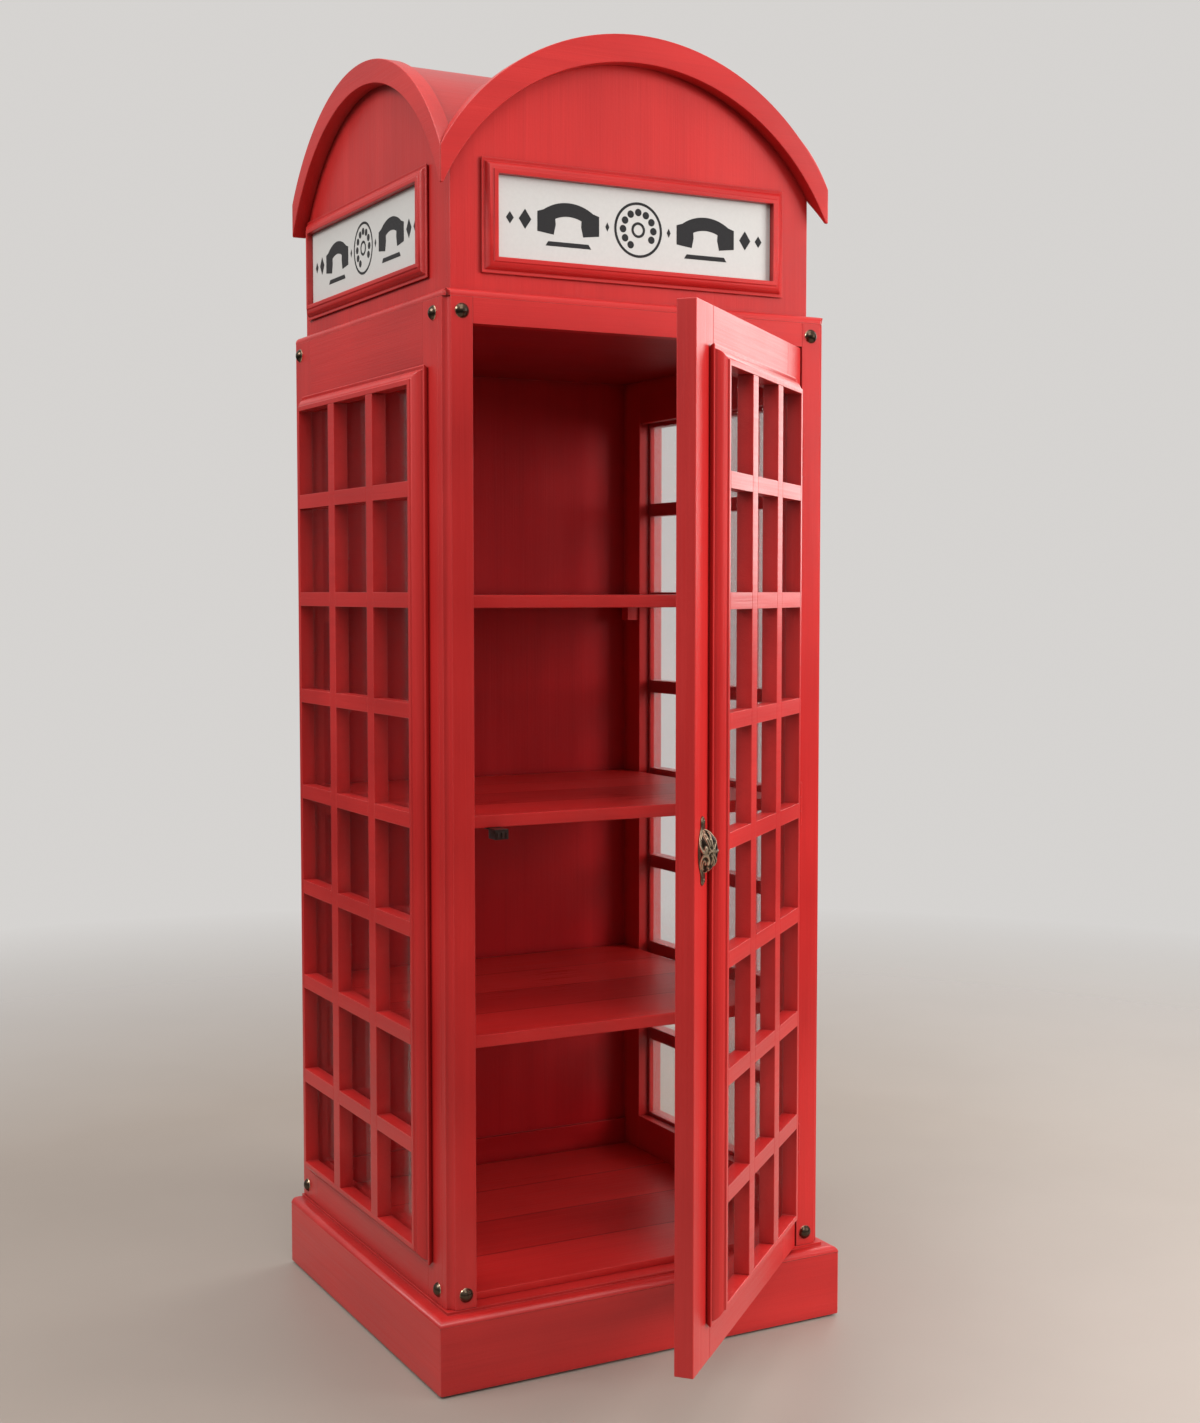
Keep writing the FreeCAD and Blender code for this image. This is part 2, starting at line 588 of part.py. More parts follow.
# ---------------------------------------------------------------- domed studs at the corners
stud_curve = arc_radius(stud_radius, stud_rise)
stud_section = [(0, 0), (stud_radius, 0, stud_curve), (0, stud_rise)]
stud_x = right - stud_inset
stud_ys = (front + side_stud_front, back - side_stud_back)
seats = [(stud_x * sign, front, V(1, 0, 0), 90) for sign, side in mirror_sides]
seats += [(right * sign, y, V(0, 1, 0), 90 * sign) for sign, side in mirror_sides for y in stud_ys]
studs = []
for z in (base + stud_drop, top - stud_drop):
    for x, y, axis, turn in seats:
        dome = revolved("stud_%d" % (len(studs) + 1), stud_section)
        studs.append(place(dome, x, y, z, axis, turn))
group("corner_studs", studs)

# ---------------------------------------------------------------- door, drawn shut with its pins on X = Y = 0
door_right = opening_half - hinge_gap - hinge_x
door_left = door_gap - opening_half - hinge_x
door_ys = (pin_proud, pin_proud + door_board)
door_middle = (door_left + door_right) / 2
door_half = (door_right - door_left) / 2 - door_margin
sash = door_margin - glass_lap
swung("door_lock_stile", box("lock_stile", (door_left, door_left + sash), door_ys, (door_low, door_high)))
swung("door_hinge_stile", box("hinge_stile", (door_right - sash, door_right), door_ys, (door_low, door_high)))
rail_xs = (door_left + sash, door_right - sash)
swung("door_top_rail", box("top_rail", rail_xs, door_ys, (glass_high, door_high)))
swung("door_bottom_rail", box("bottom_rail", rail_xs, door_ys, (door_low, glass_low)))
swung("door_glass", box("door_pane", (rail_xs[0] + glass_gap, rail_xs[1] - glass_gap),
                        (pin_proud, pin_proud + glass_sheet), (glass_low + glass_gap, glass_high - glass_gap)))
swung("door_window_moulding",
      place(framed("door_moulding", door_half, window_low, window_high, window_moulding_width,
                   window_moulding_rise), door_middle, pin_proud))
swung("door_window_bars",
      place(lattice("door_bars", door_half, window_low, window_high, window_moulding_rise),
            door_middle, pin_proud))

# ---------------------------------------------------------------- butt hinges
leaf_ys = (pin_proud + door_proud, pin_proud + door_proud + hinge_leaf_width)
knuckle = (hinge_length - knuckle_gap * 2) / 3
frame_leaf_xs = (opening_half - hinge_leaf - hinge_x, opening_half - hinge_x)
door_leaf_xs = (door_right, door_right + hinge_leaf)
frame_leaves, door_leaves, pins = [], [], []


def leaf(label, xs, low, turns):
    """One hinge leaf with its own knuckles, bored for the pin."""
    pieces = [box(label + "_plate", xs, leaf_ys, (low, low + hinge_length))]
    for turn in turns:
        start = low + (knuckle + knuckle_gap) * turn
        pieces.append(cylinder("%s_knuckle_%d" % (label, turn + 1), (0, 0, start), knuckle_radius, knuckle))
        pieces.append(box("%s_tab_%d" % (label, turn + 1), xs, (0, leaf_ys[1]), (start, start + knuckle)))
    whole = doc.addObject("Part::MultiFuse", label + "_whole")
    whole.Shapes = pieces
    bore = cylinder(label + "_bore", (0, 0, low), pin_radius + pin_clearance, hinge_length)
    return boolean("Cut", label, whole, bore)


first_hinge = door_low + hinge_inset - hinge_length / 2
hinge_step = (door_high - door_low - hinge_inset * 2) / (int(hinge_count.value) - 1)
for i in range(int(hinge_count.value)):
    low = first_hinge + hinge_step * i
    frame_leaves.append(leaf("frame_leaf_%d" % (i + 1), frame_leaf_xs, low, (0, 2)))
    door_leaves.append(leaf("door_leaf_%d" % (i + 1), door_leaf_xs, low, (1,)))
    high = low + hinge_length
    shank = cylinder("pin_shank_%d" % (i + 1), (0, 0, low), pin_radius, hinge_length)
    head = cylinder("pin_head_%d" % (i + 1), (0, 0, high), (pin_radius + knuckle_radius) / 2, pin_head)
    pins.append(boolean("Fuse", "pin_%d" % (i + 1), shank, head))
place(group("hinge_frame_leaves", frame_leaves), hinge_x, hinge_y, 0)
place(group("hinge_pins", pins), hinge_x, hinge_y, 0)
swung("hinge_door_leaves", *door_leaves)

# ---------------------------------------------------------------- cup pull on the lock stile
pull_x, pull_z = door_left + pull_inset, base + pull_level
pull_half = pull_height / 2
plate_curve = arc_radius(pull_half, pull_width / 2)
plate = padded("pull_plate_blank", "XZ", [(0, -pull_half, plate_curve), (0, pull_half, plate_curve)],
               pull_plate, -pull_plate)


def egg(label, shrink):
    """The rounded block a cup is cut from, its middle on the door's face."""
    body = doc.addObject("Part::Ellipsoid", label)
    for name, amount in (("Radius1", cup_height / 2), ("Radius2", cup_width), ("Radius3", cup_reach)):
        bind(body, name, amount - shrink)
    return body


cup = boolean("Cut", "cup_shell", egg("cup_outside", 0), egg("cup_inside", cup_metal))
keep = box("cup_keep", (-cup_width, cup_mouth), (-cup_reach, 0), (-cup_height / 2, cup_height / 2))
pull = boolean("Fuse", "cup_and_plate", boolean("Common", "cup", cup, keep), plate)
swung("door_pull", place(pull, pull_x, pin_proud, pull_z))
screws = []
for sign in (-1, 1):
    screw = revolved("pull_screw_%d" % (len(screws) + 1),
                     [(0, 0), (pull_screw_radius, 0, arc_radius(pull_screw_radius, pull_screw_rise)),
                      (0, pull_screw_rise)])
    z = pull_z + (pull_half - pull_screw_inset) * sign
    screws.append(place(screw, pull_x, pin_proud - pull_plate, z, V(1, 0, 0), 90))
swung("door_pull_screws", *screws)

# ---------------------------------------------------------------- magnetic catch and its strike plate
strike_back = door_front + door_board
pole_front = strike_back + strike_plate + strike_gap
catch_front = pole_front + catch_pole
catch_left = catch_inset - opening_half
catch_top = floor_top + shelf_middle_level - shelf_board
catch_low = catch_top - catch_height
catch_xs, body_top = (catch_left, catch_left + catch_width), catch_top - catch_plate
catch_parts = [box("catch_body", catch_xs, (catch_front, catch_front + catch_depth), (catch_low, body_top)),
               box("catch_mounting", catch_xs, (catch_front, catch_front + catch_plate_depth),
                   (body_top, catch_top))]
for i in (1, 3, 5):
    x = catch_left + catch_width * i / 6
    catch_parts.append(box("catch_pole_%d" % i, (x - catch_pole / 2, x + catch_pole / 2),
                           (pole_front, catch_front), (catch_low + catch_pole, body_top - catch_pole)))
group("magnetic_catch", catch_parts)
strike_xs = (catch_left - strike_margin - hinge_x, catch_left + catch_width + strike_margin - hinge_x)
strike_middle = (catch_low + catch_top) / 2
swung("catch_strike_plate",
      box("strike", strike_xs, (door_ys[1], door_ys[1] + strike_plate),
          (strike_middle - strike_height / 2, strike_middle + strike_height / 2)))

# ---------------------------------------------------------------- write the nodes
nodes = """
floor_glides plinth_front_board plinth_left_board plinth_right_board plinth_cap floor_panel
front_stile_left front_stile_right front_header
left_side_front_stile left_side_back_stile left_side_top_rail left_side_bottom_rail
right_side_front_stile right_side_back_stile right_side_top_rail right_side_bottom_rail
left_window_bars right_window_bars left_window_moulding right_window_moulding
left_window_glass right_window_glass back_panel back_bottom_rail ceiling_panel
shelf_upper shelf_middle shelf_lower shelf_supports body_top_moulding
head_front_board head_left_board head_right_board head_back_board
sign_frame_front sign_frame_left sign_frame_right sign_panel_front sign_panel_left sign_panel_right
arch_front arch_left arch_right roof_vault corner_studs
door_lock_stile door_hinge_stile door_top_rail door_bottom_rail door_window_moulding door_window_bars
door_glass door_pull door_pull_screws hinge_frame_leaves hinge_door_leaves hinge_pins
magnetic_catch catch_strike_plate
""".split()

doc.recompute()
bad = [o.Label for o in doc.Objects if "Invalid" in o.State or "Error" in o.State]
if bad:
    raise SystemExit("did not build: " + ", ".join(bad))
os.makedirs("parts", exist_ok=True)
for name in nodes:
    shape = doc.getObjectsByLabel(name)[0].Shape
    if shape.isNull() or not shape.isValid() or not shape.Solids:
        raise SystemExit("no valid shape: " + name)
    shape.exportStep("parts/%s.step" % name)
print("wrote %d nodes" % len(nodes))
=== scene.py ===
import json
import math

import bmesh
import bpy
from mathutils import Matrix, Vector
from mathutils.kdtree import KDTree


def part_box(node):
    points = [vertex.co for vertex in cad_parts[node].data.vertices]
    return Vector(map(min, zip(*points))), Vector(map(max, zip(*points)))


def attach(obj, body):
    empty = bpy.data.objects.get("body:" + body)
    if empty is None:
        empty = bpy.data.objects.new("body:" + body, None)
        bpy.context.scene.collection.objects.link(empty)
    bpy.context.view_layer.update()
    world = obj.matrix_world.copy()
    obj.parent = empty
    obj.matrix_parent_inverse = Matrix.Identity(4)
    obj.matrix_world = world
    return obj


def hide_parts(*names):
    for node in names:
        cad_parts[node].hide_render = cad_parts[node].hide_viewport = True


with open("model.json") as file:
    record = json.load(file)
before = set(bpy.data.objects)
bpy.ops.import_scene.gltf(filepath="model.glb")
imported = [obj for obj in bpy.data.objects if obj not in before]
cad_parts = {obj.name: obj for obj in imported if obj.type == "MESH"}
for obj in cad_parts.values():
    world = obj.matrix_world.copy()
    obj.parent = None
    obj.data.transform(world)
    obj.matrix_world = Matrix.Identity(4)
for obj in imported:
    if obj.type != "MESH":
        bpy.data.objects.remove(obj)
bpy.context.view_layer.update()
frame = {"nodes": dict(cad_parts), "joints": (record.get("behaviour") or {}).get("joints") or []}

MM = 0.001
NODES = frame["nodes"]
SWING = math.radians(42.2)          # the door stands this far open at rest
RED = (0.56, 0.017, 0.016)
# light pinkish red for the arrises: partly rubbed paint, partly a painted highlight
RUBBED_AND_HIGHLIT_RED = (0.76, 0.15, 0.135)
# warm light bronze for raised places: partly rubbed metal, partly a painted highlight
RUBBED_AND_HIGHLIT_BRONZE = (0.84, 0.66, 0.46)
JOINT_HALF_WIDTH, JOINT_HALF_FLOOR, JOINT_DEPTH = 1.6 * MM, 0.3 * MM, 1.6     # depth is in units of the bump


# ---------------------------------------------------------------- material building
class Graph:
    """A small wrapper that adds and joins shader nodes."""

    def __init__(self, name):
        self.material = bpy.data.materials.new(name)
        self.material.use_nodes = True
        self.tree = self.material.node_tree
        self.shader = self.tree.nodes["Principled BSDF"]
        self.texture = self.add("ShaderNodeTexCoord").outputs["Object"]

    def add(self, kind, **settings):
        node = self.tree.nodes.new(kind)
        for key, value in settings.items():
            setattr(node, key, value)
        return node

    def join(self, source, target):
        self.tree.links.new(source, target)

    def put(self, node, **values):
        """Set sockets by name: an output is linked, anything else is a constant."""
        for key, value in values.items():
            socket = node.inputs[key.replace("_", " ")]
            if isinstance(value, bpy.types.NodeSocket):
                self.join(value, socket)
            else:
                socket.default_value = value
        return node

    def mapped(self, scale, turn=0.0, move=(0, 0, 0)):
        """Object coordinates turned into a board's own directions, then stretched."""
        turned = self.add("ShaderNodeMapping", vector_type="POINT")
        self.put(turned, Vector=self.texture, Rotation=(0, 0, -turn), Location=move)
        stretched = self.add("ShaderNodeMapping", vector_type="POINT")
        self.put(stretched, Vector=turned.outputs[0], Scale=scale)
        return stretched.outputs[0]

    def noise(self, vector, detail=3.0, roughness=0.55, distortion=0.0):
        node = self.add("ShaderNodeTexNoise")
        self.put(node, Vector=vector, Scale=1.0, Detail=detail, Roughness=roughness, Distortion=distortion)
        return node.outputs["Fac"]

    def span(self, value, low, high, to_low=0.0, to_high=1.0):
        node = self.add("ShaderNodeMapRange", clamp=True)
        for index, item in enumerate((value, low, high, to_low, to_high)):
            if isinstance(item, bpy.types.NodeSocket):
                self.join(item, node.inputs[index])
            else:
                node.inputs[index].default_value = item
        return node.outputs[0]

    def math(self, operation, a, b=0.0):
        node = self.add("ShaderNodeMath", operation=operation)
        for index, item in enumerate((a, b)):
            if isinstance(item, bpy.types.NodeSocket):
                self.join(item, node.inputs[index])
            else:
                node.inputs[index].default_value = item
        return node.outputs[0]

    def mix(self, factor, a, b, blend="MIX"):
        node = self.add("ShaderNodeMix", data_type="RGBA", blend_type=blend, clamp_factor=True)
        for index, item in ((0, factor), (6, a), (7, b)):
            if isinstance(item, bpy.types.NodeSocket):
                self.join(item, node.inputs[index])
            elif index == 0:
                node.inputs[0].default_value = item
            else:
                node.inputs[index].default_value = (*item, 1.0)
        return node.outputs[2]

    def bump(self, height, strength, distance):
        node = self.add("ShaderNodeBump")
        self.put(node, Height=height, Strength=strength, Distance=distance)
        return node.outputs[0]

    def edges(self, radius):
        """0 on flats, rising towards 1 where a rounded normal leaves the true one."""
        soft = self.add("ShaderNodeBevel", samples=4)
        soft.inputs["Radius"].default_value = radius
        true = self.add("ShaderNodeNewGeometry")
        dot = self.add("ShaderNodeVectorMath", operation="DOT_PRODUCT")
        self.join(soft.outputs[0], dot.inputs[0])
        self.join(true.outputs["Normal"], dot.inputs[1])
        return self.math("SUBTRACT", 1.0, dot.outputs["Value"])

    def corner_shade(self, distance):
        """Ambient occlusion: 1 in the open, falling to 0 in corners, used to paint shade there."""
        node = self.add("ShaderNodeAmbientOcclusion", samples=6)
        node.inputs["Distance"].default_value = distance
        return node.outputs["AO"]


ALONG = {"x": (1, 0, 0), "y": (0, 1, 0), "z": (0, 0, 1)}


def stretch(grain, along, across):
    return tuple(along if a else across for a in ALONG[grain])


def scaled(colour, factor):
    return tuple(c * factor for c in colour)


def plank_joints(g, pitch, offset):
    """Planks laid side by side along Y: how deep in a joint a point is, and a random tone for each plank."""
    split = g.add("ShaderNodeSeparateXYZ")
    g.join(g.texture, split.inputs[0])
    cell = g.math("DIVIDE", g.math("ADD", split.outputs["Y"], offset), pitch)
    number = g.math("FLOOR", cell)
    groove = g.math("ABSOLUTE", g.math("SUBTRACT", g.math("FRACT", cell), 0.5))
    groove = g.span(groove, 0.5 - JOINT_HALF_WIDTH / pitch, 0.5 - JOINT_HALF_FLOOR / pitch)
    tone = g.add("ShaderNodeTexWhiteNoise", noise_dimensions="1D")
    g.join(number, tone.inputs["W"])
    return groove, tone.outputs["Value"]


def paint(name, grain, turn=0.0, red=RED, boards=None, move=(0, 0, 0), rough=0.40,
          streak=0.22, coat=0.24, gloss=0.48):
    """Brushed semi-gloss red over wood. The strokes run along grain.
    boards is the pitch and the offset of the plank joints on a flat top."""
    g = Graph(name)
    strokes = g.noise(g.mapped(stretch(grain, 6, 520), turn, move), detail=4.0, roughness=0.62)
    streaks = g.noise(g.mapped(stretch(grain, 2.6, 58), turn, move), detail=3.0, roughness=0.5)
    figure = g.noise(g.mapped(stretch(grain, 2.2, 95), turn, move), detail=5.0, roughness=0.6, distortion=0.6)
    clouds = g.noise(g.mapped((3.1, 3.1, 3.1), turn, move), detail=3.0)
    drift = g.noise(g.mapped(stretch(grain, 1.2, 14), turn, move), detail=2.0)
    peel = g.noise(g.mapped((260, 260, 260), turn, move), detail=2.0)
    deep = tuple(c * f for c, f in zip(red, (0.74, 0.62, 0.66)))
    light = tuple(min(1.0, c * f + a) for c, f, a in zip(red, (1.14, 1.25, 1.2), (0.0, 0.008, 0.007)))
    colour = g.mix(g.span(clouds, 0.32, 0.68), deep, red)
    colour = g.mix(g.math("MULTIPLY", g.span(drift, 0.42, 0.72), 0.45), colour, light)
    colour = g.mix(g.math("MULTIPLY", g.span(figure, 0.50, 0.74), 0.38), colour, deep)
    colour = g.mix(g.math("MULTIPLY", g.span(streaks, 0.44, 0.70), streak), colour, deep)
    colour = g.mix(g.math("MULTIPLY", g.span(strokes, 0.35, 0.75), 0.20), colour, light)
    # painted shade: corners and creases are darkened towards a deep red
    colour = g.mix(g.span(g.corner_shade(0.018), 0.25, 0.85, 0.55, 0.0), colour, scaled(red, 0.30))
    # painted highlight and wear: rounded arrises are mixed towards a light pinkish red
    rub_and_highlight = g.math("MULTIPLY", g.span(g.edges(0.0016), 0.02, 0.20), g.span(clouds, 0.35, 0.62, 0.25, 0.65))
    colour = g.mix(rub_and_highlight, colour, RUBBED_AND_HIGHLIT_RED)
    height = g.math("ADD", g.math("MULTIPLY", strokes, 0.55), g.math("MULTIPLY", figure, 0.75))
    height = g.math("ADD", height, g.math("MULTIPLY", peel, 0.25))
    if boards is not None:
        groove, tone = plank_joints(g, *boards)
        colour = g.mix(g.math("MULTIPLY", tone, 0.55), colour, light)
        colour = g.mix(g.span(tone, 0.45, 0.05, 0.0, 0.32), colour, scaled(red, 0.55))
        colour = g.mix(g.math("MULTIPLY", groove, 0.85), colour, scaled(red, 0.18))
        height = g.math("SUBTRACT", height, g.math("MULTIPLY", groove, JOINT_DEPTH))
    g.join(colour, g.shader.inputs["Base Color"])
    uneven = g.math("ADD", g.span(strokes, 0.3, 0.7, -0.05, 0.06),
                    g.span(clouds, 0.3, 0.7, rough - 0.05, rough + 0.06))
    g.join(uneven, g.shader.inputs["Roughness"])
    g.put(g.shader, Normal=g.bump(height, 0.6, 0.0007), Coat_Weight=coat, Coat_Roughness=0.22,
          Specular_IOR_Level=gloss)
    return g.material


def glass(name):
    """Clear sheet with faint waviness and dust."""
    g = Graph(name)
    wave = g.noise(g.mapped((9, 9, 9)), detail=2.0)
    dust = g.noise(g.mapped((160, 160, 60)), detail=4.0, roughness=0.7)
    g.join(g.span(dust, 0.45, 0.85, 0.01, 0.09), g.shader.inputs["Roughness"])
    tint = g.mix(g.span(wave, 0.3, 0.7), (0.94, 0.97, 0.96), (0.98, 1.0, 0.99))
    g.join(tint, g.shader.inputs["Base Color"])
    g.put(g.shader, Normal=g.bump(wave, 0.05, 0.002), Alpha=0.30, IOR=1.48)
    g.shader.inputs["Transmission Weight"].default_value = 1.0
    return g.material


def bronze(name, relief=False, dark=(0.045, 0.030, 0.021), rough=(0.24, 0.44)):
    """Dark antique bronze, rubbed warm and given a painted highlight on raised places: its edges, and a
    mesh's own relief if it has one. Painted shade darkens the relief's hollows and the corners.
    """
    g = Graph(name)
    blotch = g.noise(g.mapped((210, 210, 210)), detail=5.0, roughness=0.65)
    fine = g.noise(g.mapped((1400, 1400, 1400)), detail=2.0)
    # painted highlight and wear: the edges are lightened to warm bronze
    high = g.math("MULTIPLY", g.span(g.edges(0.0022), 0.01, 0.16), 0.9)
    colour = g.mix(g.span(blotch, 0.38, 0.72, 0.0, 0.55), dark, (0.16, 0.095, 0.055))
    if relief:
        raised = g.add("ShaderNodeAttribute", attribute_name="relief").outputs["Fac"]
        # painted shade: the low places between the relief lines are darkened to near black
        colour = g.mix(g.span(raised, 0.40, 0.04, 0.0, 0.85), colour, (0.012, 0.008, 0.006))
        # painted highlight on the raised lines of the relief
        high = g.math("MAXIMUM", high, g.span(raised, 0.45, 0.95, 0.0, 0.95))
    colour = g.mix(high, colour, RUBBED_AND_HIGHLIT_BRONZE)
    # painted shade: corners are darkened towards near black
    colour = g.mix(g.span(g.corner_shade(0.004), 0.2, 0.9, 0.75, 0.0), colour, (0.010, 0.007, 0.005))
    g.join(colour, g.shader.inputs["Base Color"])
    g.join(g.span(blotch, 0.3, 0.7, *rough), g.shader.inputs["Roughness"])
    pitted = g.math("ADD", blotch, g.math("MULTIPLY", fine, 0.4))
    g.put(g.shader, Metallic=0.92, Normal=g.bump(pitted, 0.25, 0.0004))
    return g.material


def plain(name, colour, rough, metallic=0.0, grain=(300, 300, 300), depth=0.0003, contrast=0.25):
    """A simple surface with its own grain: brushed steel, moulded plastic or matt paint."""
    g = Graph(name)
    texture = g.noise(g.mapped(grain), detail=4.0, roughness=0.6)
    cloud = g.noise(g.mapped((12, 12, 12)), detail=3.0)
    shade = scaled(colour, 1 - contrast)
    tone = g.mix(g.span(texture, 0.35, 0.7), shade, colour)
    tone = g.mix(g.span(cloud, 0.35, 0.7, 0.0, 0.35), tone, shade)
    # painted shade: corners are darkened towards a deep tone of the colour
    tone = g.mix(g.span(g.corner_shade(0.006), 0.2, 0.8, 0.5, 0.0), tone, scaled(colour, 0.3))
    g.join(tone, g.shader.inputs["Base Color"])
    g.join(g.span(texture, 0.3, 0.75, rough * 0.85, min(1.0, rough * 1.2)), g.shader.inputs["Roughness"])
    g.put(g.shader, Metallic=metallic, Normal=g.bump(texture, 0.3, depth))
    return g.material


UPRIGHT = paint("paint_upright", "z")
CROSSWISE = paint("paint_crosswise", "x", move=(0.3, 0.1, 0.7))
LENGTHWISE = paint("paint_lengthwise", "y", move=(0.6, 0.2, 0.1))
DOOR_UPRIGHT = paint("paint_door_upright", "z", SWING, move=(1.3, 0.4, 0.2))
DOOR_CROSSWISE = paint("paint_door_crosswise", "x", SWING, move=(1.7, 0.9, 0.5))
# darker red than the outside paint: painted shade for the inside of the cabinet; the low coat and gloss are
# its matte finish
SHADED_PANEL = paint("paint_back_panel_shaded", "z", red=(0.50, 0.010, 0.014), move=(2.1, 0.3, 0.3), rough=0.42,
              coat=0.06, gloss=0.34)
SHELF = paint("paint_shelf", "x", boards=(0.126, 0.2355), move=(2.7, 0.5, 0.4), rough=0.34, streak=0.6,
              coat=0.14, gloss=0.40)
FLOOR = paint("paint_floor", "x", boards=(0.1323, 0.2665), move=(3.1, 0.8, 0.9), rough=0.34, streak=0.6,
              coat=0.14, gloss=0.40)
# darker red than the outside paint: painted shade for the inside of the cabinet
SHADED_INSIDE = paint("paint_inside_shaded", "x", move=(3.7, 0.2, 0.6), red=(0.48, 0.009, 0.012), coat=0.06, gloss=0.34)
# much darker red: painted shade, since the ceiling lies in the shadow of the header
SHADED_CEILING = paint("paint_ceiling_shaded", "x", move=(4.1, 0.7, 0.2), red=(0.30, 0.004, 0.008), coat=0.06, gloss=0.30)
GLASS = glass("window_glass")
BRONZE = bronze("antique_bronze")
PULL_BRONZE = bronze("pull_bronze", relief=True)
STUD_BRONZE = bronze("stud_bronze", dark=(0.075, 0.056, 0.040), rough=(0.13, 0.24))
WHITE = plain("sign_white", (0.61, 0.605, 0.59), 0.55, grain=(220, 220, 220), depth=0.0002, contrast=0.05)
INK = plain("sign_ink", (0.020, 0.020, 0.022), 0.6, contrast=0.2)
STEEL = plain("strike_steel", (0.52, 0.51, 0.49), 0.32, 1.0, (900, 900, 60))
BROWN = plain("catch_brown", (0.030, 0.016, 0.012), 0.36)
GLIDE = plain("glide_black", (0.03, 0.03, 0.03), 0.7)

WEAR = {
    UPRIGHT: """front_stile_left front_stile_right left_side_front_stile left_side_back_stile
        right_side_front_stile right_side_back_stile head_front_board head_left_board head_right_board
        head_back_board left_window_moulding right_window_moulding shelf_supports""",
    CROSSWISE: """plinth_front_board plinth_cap front_header body_top_moulding sign_frame_front arch_front
        roof_vault""",
    LENGTHWISE: """plinth_left_board plinth_right_board left_side_top_rail left_side_bottom_rail
        right_side_top_rail right_side_bottom_rail left_window_bars right_window_bars sign_frame_left
        sign_frame_right arch_left arch_right""",
    DOOR_UPRIGHT: """door_lock_stile door_hinge_stile door_window_moulding hinge_frame_leaves
        hinge_door_leaves hinge_pins""",
    DOOR_CROSSWISE: "door_top_rail door_bottom_rail door_window_bars",
    SHADED_PANEL: "back_panel",
    SHADED_INSIDE: "back_bottom_rail",
    SHADED_CEILING: "ceiling_panel",
    SHELF: "shelf_upper shelf_middle shelf_lower",
    FLOOR: "floor_panel",
    GLASS: "left_window_glass right_window_glass door_glass",
    STUD_BRONZE: "corner_studs",
    BRONZE: "door_pull door_pull_screws",
    WHITE: "sign_panel_front sign_panel_left sign_panel_right",
    STEEL: "catch_strike_plate",
    BROWN: "magnetic_catch",
    GLIDE: "floor_glides",
}
SOFT_EDGE = {"plinth_front_board": 1.6, "plinth_left_board": 1.6, "plinth_right_board": 1.6,
             "door_lock_stile": 1.4, "arch_front": 1.4, "arch_left": 1.4, "arch_right": 1.4,
             "shelf_upper": 1.4, "shelf_middle": 1.4, "shelf_lower": 1.4}
COMMON_EDGE = 0.8
SHARP = set("left_window_glass right_window_glass door_glass roof_vault back_panel corner_studs".split())


def ease(obj, width):
    """Weld the imported faces together and round their arrises."""
    weld = obj.modifiers.new("weld", "WELD")
    weld.merge_threshold = 0.02 * MM
    bevel = obj.modifiers.new("ease", "BEVEL")
    bevel.width = width
    bevel.segments = 2
    bevel.limit_method = "ANGLE"
    bevel.angle_limit = math.radians(38)
    normals = obj.modifiers.new("shade", "WEIGHTED_NORMAL")
    normals.keep_sharp = False


for material, names in WEAR.items():
    for name in names.split():
        obj = NODES[name]
        obj.data.materials.clear()
        obj.data.materials.append(material)
        if name not in SHARP:
            ease(obj, SOFT_EDGE.get(name, COMMON_EDGE) * MM)


# ---------------------------------------------------------------- sign faces
# in metres from the middle of a sign face
RECEIVER = {"out": 0.106, "reach": 0.036, "bow_centre": -0.040, "bow_outer": 0.066, "bow_inner": 0.048}
CUP_OUTLINE = ((0.010, 0.012), (0.010, -0.014), (-0.014, -0.017), (-0.017, -0.004))      # from the reach
CRADLE_LEVEL = -0.026
CRADLE = ((-0.030, 0), (0.030, 0), (0.034, -0.006), (-0.034, -0.006))
DIAL = {"rim": (0.037, 0.0335), "hub": (0.0105, 0.0070), "holes_out": 0.0235, "hole": 0.0050}
LOZENGES = ((0.170, 0.013), (0.192, 0.008))             # how far out, and half the height
SMALL_LOZENGE = (0.0475, 0.003, 0.006)                  # how far out, half the width, half the height
ART_THICKNESS = 0.5 * MM


def plate(name, outlines, place, material):
    """Flat shapes on the cabinet, as thick as paint. An outline is a list of (x, z); one inside another is
    a hole."""
    curve = bpy.data.curves.new(name, "CURVE")
    curve.dimensions = "2D"
    curve.fill_mode = "BOTH"
    curve.extrude = ART_THICKNESS / 2
    for outline in outlines:
        spline = curve.splines.new("POLY")
        spline.points.add(len(outline) - 1)
        for point, (x, z) in zip(spline.points, outline):
            point.co = (x, z, 0, 1)
        spline.use_cyclic_u = True
    temp = bpy.data.objects.new(name + "_curve", curve)
    mesh = bpy.data.meshes.new_from_object(temp)
    mesh.name = name
    bpy.data.objects.remove(temp)
    obj = bpy.data.objects.new(name, mesh)
    bpy.context.collection.objects.link(obj)
    mesh.transform(place)
    mesh.materials.append(material)
    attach(obj, "cabinet")
    return obj


def ring(cx, cz, radius, steps=48, start=0.0, sweep=math.tau):
    """Points round a circle, or along an arc of it with both its ends."""
    angles = (start + sweep * i / steps for i in range(steps + (sweep < math.tau)))
    return [(cx + radius * math.cos(a), cz + radius * math.sin(a)) for a in angles]


def handset(cx):
    """A receiver seen from the side: a bowed grip between two cups."""
    reach, low = RECEIVER["reach"], RECEIVER["bow_centre"]
    points = ring(cx, low, RECEIVER["bow_outer"], 20, math.radians(124), math.radians(-68))
    points += [(cx + reach + x, z) for x, z in CUP_OUTLINE]
    points += ring(cx, low, RECEIVER["bow_inner"], 20, math.radians(66), math.radians(48))
    points += [(cx - reach - x, z) for x, z in CUP_OUTLINE[::-1]]
    return points


